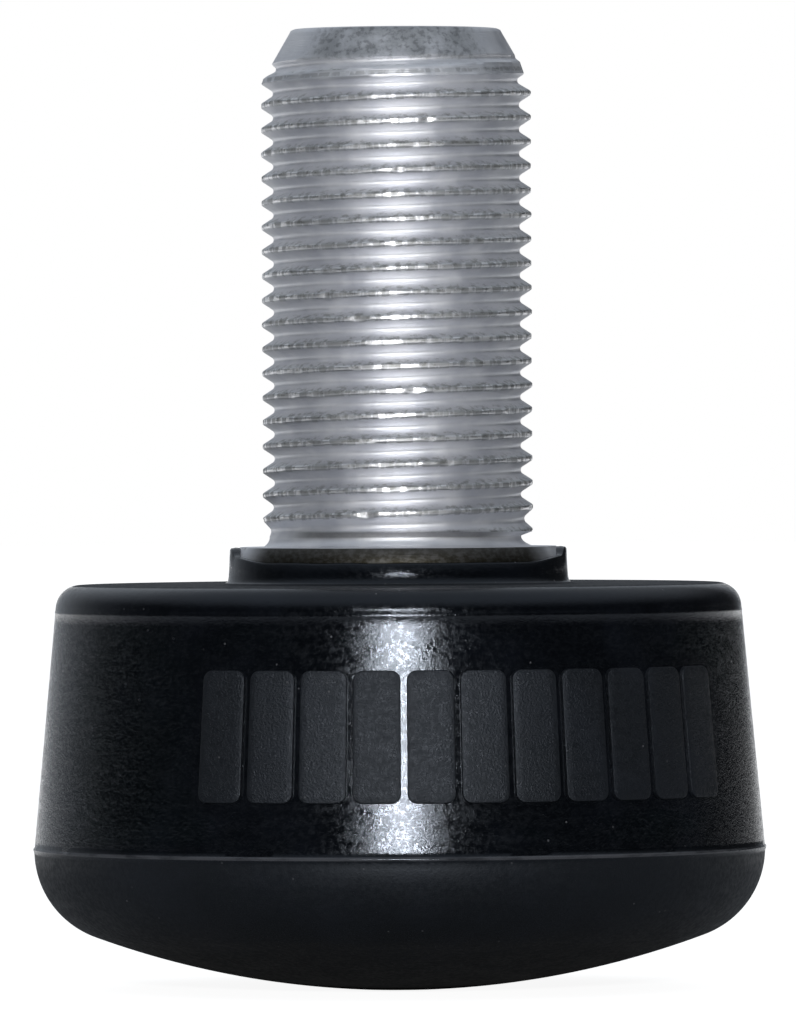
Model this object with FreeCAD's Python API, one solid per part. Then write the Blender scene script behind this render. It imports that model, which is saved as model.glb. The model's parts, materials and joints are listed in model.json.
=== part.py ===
"""Adjustable toe stop of a roller skate, in millimetres.

A rubber puck is moulded round the lower end of an aluminium stem, and the stem screws up
into the plate of the skate. A pressed steel anchor plate, riveted to the stem inside the
rubber, carries the load of braking and keeps the puck from turning or pulling off.

The origin is the middle of the small flat under the domed tread, where the stop stands, and
+Z points up along the stem.
"""

import FreeCAD
import Part
import math
import os

# Stem: a fine-threaded 5/8 inch stud, turned from bar
STEM_LENGTH = 30.0  # from the seat on the shoulder to the flat end
THREAD_MAJOR_DIAMETER = 15.7  # over the crests
LEAD_DEPTH = 1.65  # how far the lead chamfer comes in from the crests
LEAD_ANGLE = 30.0  # lead chamfer from the axis
END_EDGE_BREAK = 0.3
CENTRE_MARK_DIAMETER = 2.6  # cone left by the lathe's centre
CENTRE_MARK_ANGLE = 60.0  # across the cone

# Shoulder: what is left of the bar, sunk in the rubber to about half its height
SEAT_WIDTH = 1.6  # the seat, outside the thread's crests
SHOULDER_BEVEL_WIDTH = 0.25  # steep bevel round the seat
SHOULDER_BEVEL_HEIGHT = 0.8
SHOULDER_SUNK = 2.5  # from the top of the puck down to the anchor plate

# Spigot: the splined end that the anchor plate is pressed on
SPIGOT_DIAMETER = 12.0  # over the splines
SPLINE_DEPTH = 0.45
SPLINE_COUNT = 24

# Riveted tail: fills the plate's countersink and spreads under it
COUNTERSINK_DEPTH = 0.9
TAIL_OVERLAP = 1.15  # the head, outside the countersink
TAIL_HEIGHT = 0.9
TAIL_EDGE_BREAK = 0.4
PUNCH_MARK_DIAMETER = 7.0
PUNCH_MARK_DEPTH = 0.5

# Anchor plate: the rubber flows through its windows and into its notches
PLATE_THICKNESS = 2.5
PLATE_COVER = 4.5  # rubber outside the rim
PLATE_EDGE_BREAK = 0.5
WINDOW_COUNT = 6
WINDOW_LAND = 1.6  # steel left between a window and the rim, and the riveted tail
NOTCH_COUNT = 6
NOTCH_DIAMETER = 3.2
NOTCH_OUTSET = 0.4  # the notches' centres, outside the rim

# Rubber puck
TREAD_DIAMETER = 42.4  # widest, at the mould's parting line
CROWN_RADIUS = 51.0  # the domed tread
STANDING_FLAT_DIAMETER = 6.0  # level spot under the dome, where the stop stands by itself
CROWN_EDGE_RADIUS = 5.3  # from the dome round to the parting line
SIDE_HEIGHT = 15.4  # from the parting line up to the flat top
SIDE_DRAFT = 5.3  # how far the side leans in, in degrees
TOP_EDGE_ROUND = 1.4
FLASH_REACH = 0.1  # fin on the parting line
FLASH_THICKNESS = 0.24
MOULD_STEP_REACH = 0.04  # line where the mould's lid met its ring
MOULD_STEP_THICKNESS = 0.16

# Rubber sleeve that runs up round the shoulder
SHOULDER_RISE = 2.15  # from the top of the puck up to the seat
SLEEVE_WALL = 0.35
SLEEVE_SETBACK = 0.3  # the sleeve ends below the seat


def rise(run, angle_from_axis):
    """How far a cone climbs along the axis while its radius changes by a run."""
    return run / math.tan(math.radians(angle_from_axis))


def side_radius(height):
    """Radius of the puck's leaning side at a height."""
    return TREAD_DIAMETER / 2 - (height - PARTING_Z) * math.tan(math.radians(SIDE_DRAFT))


# Radii that follow from the sizes above
THREAD_RADIUS = THREAD_MAJOR_DIAMETER / 2
END_RADIUS = THREAD_RADIUS - LEAD_DEPTH
SHOULDER_RADIUS = THREAD_RADIUS + SEAT_WIDTH
SPLINE_ROOT_RADIUS = SPIGOT_DIAMETER / 2 - SPLINE_DEPTH
COUNTERSINK_RADIUS = SPLINE_ROOT_RADIUS + COUNTERSINK_DEPTH
TAIL_RADIUS = COUNTERSINK_RADIUS + TAIL_OVERLAP
STANDING_FLAT_RADIUS = STANDING_FLAT_DIAMETER / 2
CROWN_EDGE_CENTRE = TREAD_DIAMETER / 2 - CROWN_EDGE_RADIUS

# Levels, from the tread upwards
DOME_CENTRE_Z = math.sqrt(CROWN_RADIUS**2 - STANDING_FLAT_RADIUS**2)
PARTING_Z = DOME_CENTRE_Z - math.sqrt((CROWN_RADIUS - CROWN_EDGE_RADIUS) ** 2 - CROWN_EDGE_CENTRE**2)
PUCK_TOP_Z = PARTING_Z + SIDE_HEIGHT
PLATE_TOP_Z = PUCK_TOP_Z - SHOULDER_SUNK
PLATE_BOTTOM_Z = PLATE_TOP_Z - PLATE_THICKNESS
TAIL_BOTTOM_Z = PLATE_BOTTOM_Z - TAIL_HEIGHT
SEAT_Z = PUCK_TOP_Z + SHOULDER_RISE
STEM_END_Z = SEAT_Z + STEM_LENGTH
THREAD_END_Z = STEM_END_Z - END_EDGE_BREAK - rise(LEAD_DEPTH, LEAD_ANGLE)

# The plate and its windows lie between the riveted tail and the puck's side
PLATE_RADIUS = side_radius(PLATE_TOP_Z) - PLATE_COVER
WINDOW_RADIUS = (PLATE_RADIUS - TAIL_RADIUS) / 2 - WINDOW_LAND
WINDOW_CIRCLE_RADIUS = (PLATE_RADIUS + TAIL_RADIUS) / 2

AXIS_START = FreeCAD.Vector(0, 0, 0)
UP = FreeCAD.Vector(0, 0, 1)


def point(radius, height):
    """A point of a turned profile, in the XZ plane."""
    return FreeCAD.Vector(radius, 0, height)


def rounded_corner(before, corner, after, radius):
    """Start, middle and end of the arc that rounds a corner of a profile."""
    towards_before = (before - corner).normalize()
    towards_after = (after - corner).normalize()
    half_angle = towards_before.getAngle(towards_after) / 2
    inward = (towards_before + towards_after).normalize()
    reach = radius / math.tan(half_angle)
    centre = corner + inward * (radius / math.sin(half_angle))
    return corner + towards_before * reach, centre - inward * radius, corner + towards_after * reach


def outline(corners):
    """Edges through corners given as (radius, height), or (radius, height, rounding)."""
    places = [point(radius, height) for radius, height, *rounding in corners]
    edges = []
    here = places[0]
    for i in range(1, len(corners)):
        if len(corners[i]) == 3:
            start, middle, end = rounded_corner(places[i - 1], places[i], places[i + 1], corners[i][2])
            edges.append(Part.makeLine(here, start))
            edges.append(Part.Arc(start, middle, end).toShape())
            here = end
        else:
            edges.append(Part.makeLine(here, places[i]))
            here = places[i]
    return edges


def turned(edges):
    """The solid that a closed profile sweeps once round the axis."""
    return Part.Face(Part.Wire(edges)).revolve(AXIS_START, UP, 360)


def turned_from(corners):
    """A turned solid from the corners of its profile, closed by a straight line."""
    return turned(outline(corners + corners[:1]))


def around_axis(shape, count, first_angle=0.0):
    """Copies of a shape, evenly spaced round the axis."""
    copies = []
    for i in range(count):
        copy = shape.copy()
        copy.rotate(AXIS_START, UP, first_angle + i * 360.0 / count)
        copies.append(copy)
    return copies


def splined_spigot():
    """Ring of straight teeth that bite into the anchor plate's bore."""
    tips = around_axis(Part.Vertex(point(SPIGOT_DIAMETER / 2, PLATE_BOTTOM_Z)), SPLINE_COUNT)
    root = Part.Vertex(point(SPLINE_ROOT_RADIUS, PLATE_BOTTOM_Z))
    roots = around_axis(root, SPLINE_COUNT, 180.0 / SPLINE_COUNT)
    ring = [vertex.Point for pair in zip(tips, roots) for vertex in pair]
    section = Part.Face(Part.makePolygon(ring + ring[:1]))
    return section.extrude(UP * PLATE_THICKNESS)


def riveted_tail():
    """End of the spigot, spread by a punch into the countersink and under the plate."""
    countersink_top = PLATE_BOTTOM_Z + COUNTERSINK_DEPTH
    mark_radius = PUNCH_MARK_DIAMETER / 2
    mark_top = TAIL_BOTTOM_Z + PUNCH_MARK_DEPTH
    return turned_from([
        (0, countersink_top),
        (SPLINE_ROOT_RADIUS, countersink_top),
        (COUNTERSINK_RADIUS, PLATE_BOTTOM_Z),
        (TAIL_RADIUS, PLATE_BOTTOM_Z),
        (TAIL_RADIUS, TAIL_BOTTOM_Z + TAIL_EDGE_BREAK),
        (TAIL_RADIUS - TAIL_EDGE_BREAK, TAIL_BOTTOM_Z),
        (mark_radius, TAIL_BOTTOM_Z),
        (mark_radius - PUNCH_MARK_DEPTH, mark_top),
        (0, mark_top),
    ])


def threaded_stem():
    """Stud, shoulder, spigot and tail in one piece. The stud is plain over its crests."""
    mark_radius = CENTRE_MARK_DIAMETER / 2
    bar = turned_from([
        (0, PLATE_TOP_Z),
        (SHOULDER_RADIUS, PLATE_TOP_Z),
        (SHOULDER_RADIUS, SEAT_Z - SHOULDER_BEVEL_HEIGHT),
        (SHOULDER_RADIUS - SHOULDER_BEVEL_WIDTH, SEAT_Z),
        (THREAD_RADIUS, SEAT_Z),
        (THREAD_RADIUS, THREAD_END_Z),
        (END_RADIUS, STEM_END_Z - END_EDGE_BREAK),
        (END_RADIUS - END_EDGE_BREAK, STEM_END_Z),
        (mark_radius, STEM_END_Z),
        (0, STEM_END_Z - rise(mark_radius, CENTRE_MARK_ANGLE / 2)),
    ])
    return bar.fuse([splined_spigot(), riveted_tail()]).removeSplitter()


def anchor_plate(stem):
    """Pressed disc, windowed and notched so that the rubber can't turn on it."""
    disc = turned_from([
        (0, PLATE_BOTTOM_Z),
        (PLATE_RADIUS - PLATE_EDGE_BREAK, PLATE_BOTTOM_Z),
        (PLATE_RADIUS, PLATE_BOTTOM_Z + PLATE_EDGE_BREAK),
        (PLATE_RADIUS, PLATE_TOP_Z - PLATE_EDGE_BREAK),
        (PLATE_RADIUS - PLATE_EDGE_BREAK, PLATE_TOP_Z),
        (0, PLATE_TOP_Z),
    ])
    window_foot = point(WINDOW_CIRCLE_RADIUS, PLATE_BOTTOM_Z)
    notch_foot = point(PLATE_RADIUS + NOTCH_OUTSET, PLATE_BOTTOM_Z)
    window = Part.makeCylinder(WINDOW_RADIUS, PLATE_THICKNESS, window_foot)
    notch = Part.makeCylinder(NOTCH_DIAMETER / 2, PLATE_THICKNESS, notch_foot)
    windows = around_axis(window, WINDOW_COUNT)
    notches = around_axis(notch, NOTCH_COUNT, 180.0 / WINDOW_COUNT)
    return disc.cut(windows + notches).cut(stem).removeSplitter()


def tread_edges():
    """Standing flat, dome and rounded edge, from the axis out to the parting line."""
    dome_centre = point(0, DOME_CENTRE_Z)
    edge_centre = point(CROWN_EDGE_CENTRE, PARTING_Z)
    flat_edge = point(STANDING_FLAT_RADIUS, 0)
    flat_angle = math.asin(STANDING_FLAT_RADIUS / CROWN_RADIUS)
    meeting_angle = math.asin(CROWN_EDGE_CENTRE / (CROWN_RADIUS - CROWN_EDGE_RADIUS))

    def on_arc(centre, radius, angle_from_down):
        return centre + point(radius * math.sin(angle_from_down), -radius * math.cos(angle_from_down))

    meeting = on_arc(dome_centre, CROWN_RADIUS, meeting_angle)
    dome_middle = on_arc(dome_centre, CROWN_RADIUS, (flat_angle + meeting_angle) / 2)
    edge_middle = on_arc(edge_centre, CROWN_EDGE_RADIUS, (meeting_angle + math.pi / 2) / 2)
    return [
        Part.makeLine(AXIS_START, flat_edge),
        Part.Arc(flat_edge, dome_middle, meeting).toShape(),
        Part.Arc(meeting, edge_middle, point(TREAD_DIAMETER / 2, PARTING_Z)).toShape(),
    ]


def mould_line(bottom, thickness, reach):
    """Corners of a thin fin round the side, where two parts of the mould met."""
    middle = bottom + thickness / 2
    top = bottom + thickness
    return [
        (side_radius(bottom), bottom),
        (side_radius(middle) + reach, middle),
        (side_radius(top), top),
    ]


def rubber_puck(stem, plate):
    """Moulded rubber, bonded to the shoulder and all round the plate and its windows."""
    sleeve_radius = SHOULDER_RADIUS + SLEEVE_WALL
    sleeve_top = SEAT_Z - SLEEVE_SETBACK
    step_bottom = PUCK_TOP_Z - TOP_EDGE_ROUND - MOULD_STEP_THICKNESS
    side = mould_line(PARTING_Z, FLASH_THICKNESS, FLASH_REACH)
    side += mould_line(step_bottom, MOULD_STEP_THICKNESS, MOULD_STEP_REACH)
    top = [
        (side_radius(PUCK_TOP_Z), PUCK_TOP_Z, TOP_EDGE_ROUND),
        (sleeve_radius, PUCK_TOP_Z),
        (sleeve_radius, sleeve_top),
        (0, sleeve_top),
        (0, 0),
    ]
    blank = turned(tread_edges() + outline(side + top))
    return blank.cut(plate).cut(stem).removeSplitter()


def main():
    os.makedirs("parts", exist_ok=True)
    stem = threaded_stem()
    plate = anchor_plate(stem)
    pieces = {
        "threaded_stem": stem,
        "anchor_plate": plate,
        "rubber_puck": rubber_puck(stem, plate),
    }
    for name, shape in pieces.items():
        shape.exportStep(f"parts/{name}.step")
        print(f"{name}: {len(shape.Solids)} solid, {len(shape.Faces)} faces, {shape.Volume:.1f} mm3")
    print(f"seat {SEAT_Z:.3f}, thread up to {THREAD_END_Z:.3f}, end {STEM_END_Z:.3f}")
    print(f"shoulder radius {SHOULDER_RADIUS:.3f}, plate radius {PLATE_RADIUS:.3f}")
    print(f"windows: radius {WINDOW_RADIUS:.3f} on a circle of radius {WINDOW_CIRCLE_RADIUS:.3f}")


main()
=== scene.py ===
# %% [markdown]
# # A screw-in toe stop for a roller skate
#
# This lesson dresses a small machine part that was already drawn in CAD: a black rubber puck
# moulded on an aluminium stem with a fine thread. The CAD solids come in as a fixed frame, and
# nothing here moves or resizes them. What this file adds is what a drawing leaves out: the
# cut thread, the thin rubber lip round the shoulder, the mould's marks, and every finish.

import json
import math
import random

import bpy
import numpy as np
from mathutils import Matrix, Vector


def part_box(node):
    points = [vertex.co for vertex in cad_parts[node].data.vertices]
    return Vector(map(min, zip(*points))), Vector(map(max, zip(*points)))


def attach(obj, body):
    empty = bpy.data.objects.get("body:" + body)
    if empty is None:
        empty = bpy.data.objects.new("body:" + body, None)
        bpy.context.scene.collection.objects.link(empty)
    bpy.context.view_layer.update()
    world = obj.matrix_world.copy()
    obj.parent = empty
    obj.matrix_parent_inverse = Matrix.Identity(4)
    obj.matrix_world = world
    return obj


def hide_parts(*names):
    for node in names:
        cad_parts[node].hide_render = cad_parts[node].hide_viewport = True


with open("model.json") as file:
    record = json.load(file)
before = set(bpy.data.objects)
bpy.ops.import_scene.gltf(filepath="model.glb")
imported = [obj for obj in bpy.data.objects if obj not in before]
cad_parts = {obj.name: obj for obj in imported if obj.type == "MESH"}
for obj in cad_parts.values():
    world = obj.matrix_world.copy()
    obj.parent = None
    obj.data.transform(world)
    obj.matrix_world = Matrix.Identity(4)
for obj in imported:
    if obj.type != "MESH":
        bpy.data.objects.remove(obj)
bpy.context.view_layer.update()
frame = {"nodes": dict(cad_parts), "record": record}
print("CAD nodes:", sorted(frame["nodes"]))

# %% [markdown]
# ## Take the main sizes from the frame
#
# A finish has to sit on the real part, so the sizes that the frame states are read from it and
# never typed again. The record names the two faces where a skate holds the stop: the threaded
# stem and the flat seat at its foot. The boxes of the solids give the levels. Lengths are in
# millimetres here, because a machinist thinks in them, and become metres when a mesh is made.

# %% Main sizes
MM = 0.001
mounts = {mount["name"]: mount for mount in frame["record"]["mounts"]}


def top_and_bottom(node):
    """Lowest and highest level of a CAD node, in millimetres."""
    low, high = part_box(node)
    return low.z / MM, high.z / MM


THREAD_RADIUS = mounts["stem"]["dims"]["r_mm"]
SEAT_Z = mounts["shoulder_seat"]["pos_m"][2] / MM
STEM_FOOT_Z, STEM_END_Z = top_and_bottom("threaded_stem")
PLATE_BOTTOM_Z, PLATE_TOP_Z = top_and_bottom("anchor_plate")
print(f"thread radius {THREAD_RADIUS}, seat {SEAT_Z:.3f}, end {STEM_END_Z:.3f}, plate top {PLATE_TOP_Z:.3f}")

# %% [markdown]
# ## Rings: the way to draw anything turned
#
# Every piece of this object was made by turning or by a round mould. A turned shape is a stack
# of rings of points round one axis, joined by bands of four-sided faces. Blender's Screw
# modifier makes the same thing from an outline. Rings made in code are chosen here, because
# later steps bend single rings: a torn thread crest, or a rubber lip that dips at the front.

# %% A builder of rings
COLUMNS = 240  # points in each ring
ring_angles = np.arange(COLUMNS) * 2 * math.pi / COLUMNS


class RingMesh:
    """Collects rings of points round the Z axis and the faces between them."""

    def __init__(self):
        self.points = []
        self.faces = []

    def add_point(self, radius, angle, height):
        self.points.append((radius * math.cos(angle) * MM, radius * math.sin(angle) * MM, height * MM))
        return len(self.points) - 1

    def ring(self, radius, height):
        """A ring of points. Radius and height are numbers, or arrays with one value a column."""
        radii = np.broadcast_to(radius, COLUMNS)
        heights = np.broadcast_to(height, COLUMNS)
        return [self.add_point(r, a, z) for r, a, z in zip(radii, ring_angles, heights)]

    def pole(self, height):
        """A single point on the axis, repeated so that it joins like a ring."""
        return [self.add_point(0, 0, height)] * COLUMNS

    def face(self, corners):
        """A face without the corners that fall on each other."""
        kept = [c for i, c in enumerate(corners) if c != corners[i - 1]]
        if len(set(kept)) > 2:
            self.faces.append(kept)

    def band(self, lower, upper):
        for i in range(COLUMNS):
            j = (i + 1) % COLUMNS
            self.face([lower[i], lower[j], upper[j], upper[i]])

    def bands(self, rings):
        for lower, upper in zip(rings, rings[1:]):
            self.band(lower, upper)

    def lathe(self, outline):
        """Rings through an outline of (radius, height) pairs, joined. Returns the rings."""
        rings = [self.pole(z) if np.all(np.equal(r, 0)) else self.ring(r, z) for r, z in outline]
        self.bands(rings)
        return rings


print(f"rings of {COLUMNS} points, {2 * math.pi * THREAD_RADIUS / COLUMNS:.2f} mm apart on the thread")

# %% [markdown]
# ## From points to a piece
#
# A piece of the scene needs four things: a mesh, smooth shading that still keeps real corners
# sharp, a body to ride on, and the material slot that it stands for. One helper does all four,
# so that no piece is left without one of them.

# %% Make a piece
SHARP_ANGLE = math.radians(38)


def make_piece(name, points, faces, material):
    mesh = bpy.data.meshes.new(name)
    mesh.from_pydata(points, [], faces)
    mesh.validate()
    mesh.shade_smooth()
    mesh.set_sharp_from_angle(angle=SHARP_ANGLE)
    mesh.materials.append(material)
    piece = bpy.data.objects.new(name, mesh)
    bpy.context.scene.collection.objects.link(piece)
    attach(piece, "root")
    print(f"{name}: {len(points)} points, {len(mesh.polygons)} faces")
    return piece


# %% [markdown]
# ## A short way to write materials
#
# Each finish below is a small network of shader nodes. The helper keeps the network readable:
# it adds a node, sets its plain values and links its inputs in one call. Positions come from
# Object coordinates, in metres, so every pattern has a real size and stays on the part from
# any side.

# %% Node helper
def add_node(tree, kind, settings=None, **inputs):
    """Adds a node. Inputs are values or sockets, by name with _ for a space, or by number as _0."""
    node = tree.nodes.new(kind)
    for key, value in (settings or {}).items():
        setattr(node, key, value)
    for key, value in inputs.items():
        socket = node.inputs[int(key[1:])] if key[1:].isdigit() else node.inputs[key.replace("_", " ")]
        if isinstance(value, bpy.types.NodeSocket):
            tree.links.new(value, socket)
        else:
            socket.default_value = value
    return node


def calculate(tree, operation, *values):
    """Adds a Math node for values or sockets, and returns its result."""
    inputs = {f"_{place}": value for place, value in enumerate(values)}
    return add_node(tree, "ShaderNodeMath", {"operation": operation}, **inputs).outputs["Value"]


class Finish:
    """One procedural material, built node by node."""

    def __init__(self, name, base_color, metallic, roughness):
        self.material = bpy.data.materials.new(name)
        self.material.use_nodes = True
        self.material.diffuse_color = (*base_color, 1)
        self.tree = self.material.node_tree
        self.shader = self.tree.nodes["Principled BSDF"]
        self.shader.inputs["Base Color"].default_value = (*base_color, 1)
        self.shader.inputs["Metallic"].default_value = metallic
        self.shader.inputs["Roughness"].default_value = roughness
        self.position = self.node("ShaderNodeTexCoord").outputs["Object"]

    def node(self, kind, settings=None, **inputs):
        return add_node(self.tree, kind, settings, **inputs)

    def stretched(self, x, y, z):
        """Positions scaled apart along the axes, which stretches a pattern."""
        node = self.node("ShaderNodeVectorMath", {"operation": "MULTIPLY"}, _0=self.position, _1=(x, y, z))
        return node.outputs["Vector"]

    def noise(self, size_mm, detail=3.0, roughness=0.55, where=None):
        """Cloudy noise from 0 to 1, whose blotches are about that size."""
        vector = self.position if where is None else where
        node = self.node(
            "ShaderNodeTexNoise", Vector=vector, Scale=1 / (size_mm * MM), Detail=detail, Roughness=roughness
        )
        return node.outputs["Fac"]

    def specks(self, size_mm, where=None):
        """Distance from scattered points, in cells of about that size."""
        vector = self.position if where is None else where
        node = self.node("ShaderNodeTexVoronoi", Vector=vector, Scale=1 / (size_mm * MM))
        return node.outputs["Distance"]

    def remap(self, value, low, high, to_low=0.0, to_high=1.0):
        """Stretches part of a range to another, and holds its ends."""
        node = self.node(
            "ShaderNodeMapRange", {"interpolation_type": "SMOOTHSTEP"}, Value=value,
            From_Min=low, From_Max=high, To_Min=to_low, To_Max=to_high,
        )
        return node.outputs["Result"]

    def math(self, operation, first, second=0.0):
        return calculate(self.tree, operation, first, second)

    def mix(self, factor, first, second):
        """Mixes two colours, each a socket or three numbers."""
        node = self.tree.nodes.new("ShaderNodeMix")
        node.data_type = "RGBA"
        for socket, value in ((node.inputs[0], factor), (node.inputs[6], first), (node.inputs[7], second)):
            if isinstance(value, bpy.types.NodeSocket):
                self.tree.links.new(value, socket)
            elif socket.type == "RGBA":
                socket.default_value = (*value, 1)
            else:
                socket.default_value = value
        return node.outputs[2]

    def height(self):
        """Height above the floor, in metres."""
        return self.node("ShaderNodeSeparateXYZ", Vector=self.position).outputs["Z"]

    def band(self, height, rise, fall):
        """1 between two levels and 0 beyond them. Each level is a (start, end) pair in mm."""
        risen = self.remap(height, rise[0] * MM, rise[1] * MM)
        not_fallen = self.remap(height, fall[0] * MM, fall[1] * MM, 1.0, 0.0)
        return self.math("MULTIPLY", risen, not_fallen)

    def attribute(self, name):
        """A number that the mesh stores at each of its points."""
        return self.node("ShaderNodeAttribute", {"attribute_name": name}).outputs["Fac"]

    def use(self, name, socket):
        self.tree.links.new(socket, self.shader.inputs[name])

    def bump(self, *layers):
        """Stacks layers of bump, each a (height socket, depth in mm) pair."""
        normal = None
        for height, depth_mm in layers:
            node = self.node("ShaderNodeBump", Height=height, Distance=depth_mm * MM, Strength=1.0)
            if normal is not None:
                self.tree.links.new(normal, node.inputs["Normal"])
            normal = node.outputs["Normal"]
        self.use("Normal", normal)


# %% [markdown]
# ## The stem's aluminium
#
# The stem is turned from bar and its thread is cut, not polished, so the metal is a satin grey
# with fine lines that run round it. It could be one grey with one roughness, but then it
# would look cast. Here the mesh says where a point is: on a crest, above a crest, on the
# lead chamfer, or on the shoulder. The upper flanks get painted shade. The lead's front and
# back get a haze of scuffs and painted shade. The bevel gets dark residue and painted shade,
# and the bevel's two sides a painted highlight. Noise then breaks each of these up, so that crests
# shine in dashes and dirt lies in flecks above them.

# %% Aluminium finish
CLEAN_METAL = (0.84, 0.85, 0.88)
MATT_METAL = (0.78, 0.79, 0.83)
BRIGHT_METAL = (0.88, 0.885, 0.91)
SHINY_METAL = (0.94, 0.94, 0.95)
# painted shade laid on the flanks above the crests
PAINTED_FLANK_SHADE = (0.33, 0.34, 0.34)
DULL_CREST = (0.24, 0.24, 0.22)
DIRT = (0.15, 0.15, 0.125)
# a darker haze of scuffs and painted shade on the lead chamfer's front and back
SCUFF_AND_SHADE_HAZE = (0.25, 0.27, 0.29)
SCRATCH = (0.09, 0.095, 0.10)
# dark residue and painted shade on the bevel, and painted shade in the neck's corner
RESIDUE_AND_SHADE = (0.030, 0.027, 0.019)
TURNING_LINE_DEPTH = 0.014
GRAIN_DEPTH = 0.012


def thread_tone(finish, tone, dashes, dirt):
    """Adds painted shade on the upper flanks, shiny and dull dashes on the crests, and dirt above them. Also says
    where it shines.
    """
    crest, upper = finish.attribute("crest"), finish.attribute("upper")
    # painted shade: the flanks above each crest are made darker
    tone = finish.mix(finish.math("MULTIPLY", upper, 0.42), tone, PAINTED_FLANK_SHADE)
    on_crest = finish.remap(crest, 0.80, 0.97)
    shine = finish.math("MULTIPLY", on_crest, finish.remap(dashes, 0.49, 0.57))
    tone = finish.mix(shine, tone, SHINY_METAL)
    dull = finish.math("MULTIPLY", finish.remap(crest, 0.70, 0.95), finish.remap(dashes, 0.53, 0.43))
    tone = finish.mix(finish.math("MULTIPLY", dull, 0.38), tone, DULL_CREST)
    flecks = finish.math("MULTIPLY", finish.remap(dirt, 0.47, 0.66), finish.remap(upper, 0.15, 0.75))
    return finish.mix(finish.math("MULTIPLY", flecks, 0.5), tone, DIRT), shine


def wear_and_shade_tone(finish, tone, scuffed_and_shaded, blotches, dirt):
    """Adds scratches, and a haze of scuffs and painted shade, on the lead chamfer's front and back, and residue and
    painted shade on the shoulder.
    """
    scratches = finish.math("MULTIPLY", finish.remap(finish.noise(0.34, 3, 0.6), 0.45, 0.66), scuffed_and_shaded)
    # scuffs and painted shade: the haze darkens the lead chamfer at its front and back
    scuff_and_shade_cloud = finish.math("MULTIPLY", scuffed_and_shaded, finish.remap(blotches, 0.3, 0.65, 0.3, 0.75))
    tone = finish.mix(scuff_and_shade_cloud, tone, SCUFF_AND_SHADE_HAZE)
    tone = finish.mix(finish.math("MULTIPLY", scratches, 0.42), tone, SCRATCH)
    # residue and painted shade on the bevel, darkest at front and back, and painted shade in the neck's corner
    stained_and_shaded = finish.attribute("stained_and_shaded")
    shoulder_residue_and_shade = finish.math("MULTIPLY", stained_and_shaded, finish.remap(dirt, 0.3, 0.62, 0.94, 1.0))
    return finish.mix(shoulder_residue_and_shade, tone, RESIDUE_AND_SHADE)


def aluminium_finish():
    finish = Finish("turned_aluminium", CLEAN_METAL, 1.0, 0.5)
    blotches = finish.noise(1.6, detail=4)
    grain = finish.noise(0.2, detail=3, roughness=0.7)
    lines = finish.noise(1.0, detail=3, roughness=0.6, where=finish.stretched(0.35, 0.35, 14))
    dashes = finish.noise(0.55, detail=2, roughness=0.55, where=finish.stretched(1, 1, 0.3))
    dirt = finish.noise(0.42, detail=3, roughness=0.6, where=finish.stretched(1, 1, 1.5))
    # where the lead chamfer carries scuffs and painted shade
    scuffed_and_shaded = finish.attribute("scuffed_and_shaded")

    clean = finish.mix(finish.remap(blotches, 0.3, 0.7), MATT_METAL, BRIGHT_METAL)
    threaded, shine = thread_tone(finish, clean, dashes, dirt)
    finish.use("Base Color", wear_and_shade_tone(finish, threaded, scuffed_and_shaded, blotches, dirt))

    satin = finish.remap(blotches, 0.25, 0.75, 0.46, 0.56)
    satin = finish.math("ADD", satin, finish.math("MULTIPLY", scuffed_and_shaded, 0.12))
    polished = finish.math("MULTIPLY", shine, -0.18)
    finish.use("Roughness", finish.math("ADD", satin, polished))
    finish.bump((lines, TURNING_LINE_DEPTH), (grain, GRAIN_DEPTH))
    return finish.material


stem_metal = aluminium_finish()
print("made", stem_metal.name)

# %% [markdown]
# ## The thread's shape
#
# A thread is one groove that climbs round the stem. Seen in section it is a V with a small
# radius on the crest and another in the root. The groove could be cut with a Boolean
# from a swept wedge, but that leaves ragged faces. Here the surface itself is wound: each row
# of points follows the helix, so faces run along the crest and stay clean.
#
# The rows are closest where the section bends most, on the crest and in the root.

# %% Section of one turn
PITCH = 25.4 / 18
FLANK_ANGLE = math.radians(33)
CREST_ROUND = 0.19
ROOT_ROUND = 0.25
SHARP_HEIGHT = PITCH / 2 / math.tan(FLANK_ANGLE)
THREAD_DEPTH = SHARP_HEIGHT - (CREST_ROUND + ROOT_ROUND) * (1 / math.sin(FLANK_ANGLE) - 1)


def thread_section():
    """Rows over one pitch, from root to root, as (share of the pitch, depth under the crest)."""
    bend = math.pi / 2 - FLANK_ANGLE
    rows = [
        (ROOT_ROUND * math.sin(a), THREAD_DEPTH - ROOT_ROUND * (1 - math.cos(a))) for a in np.linspace(0, bend, 4)
    ]
    crest = [
        (PITCH / 2 + CREST_ROUND * math.sin(a), CREST_ROUND * (1 - math.cos(a))) for a in np.linspace(-bend, 0, 4)
    ]
    flank_foot, flank_top = np.array(rows[-1]), np.array(crest[0])
    rows += [tuple(flank_foot + (flank_top - flank_foot) * share) for share in (0.33, 0.67)]
    rows += crest
    mirrored = [(PITCH - z, depth) for z, depth in reversed(rows[1:-1])]
    return [(z / PITCH, depth) for z, depth in rows + mirrored]


section = thread_section()
print(f"thread: {len(section)} rows a turn, {THREAD_DEPTH:.2f} mm deep, {PITCH:.3f} mm pitch")

# %% [markdown]
# ## Where the thread starts and ends
#
# The tool leaves the metal just above the shoulder, so the last turns of the groove are
# shallower and of uneven depth. Below them a short neck flares out to the flat seat, and its
# upper edge casts a thin dark line. At the free end a 30 degree chamfer cuts the crests down,
# so that the stem finds its hole. Each point takes the smaller radius of thread and chamfer.

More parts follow.
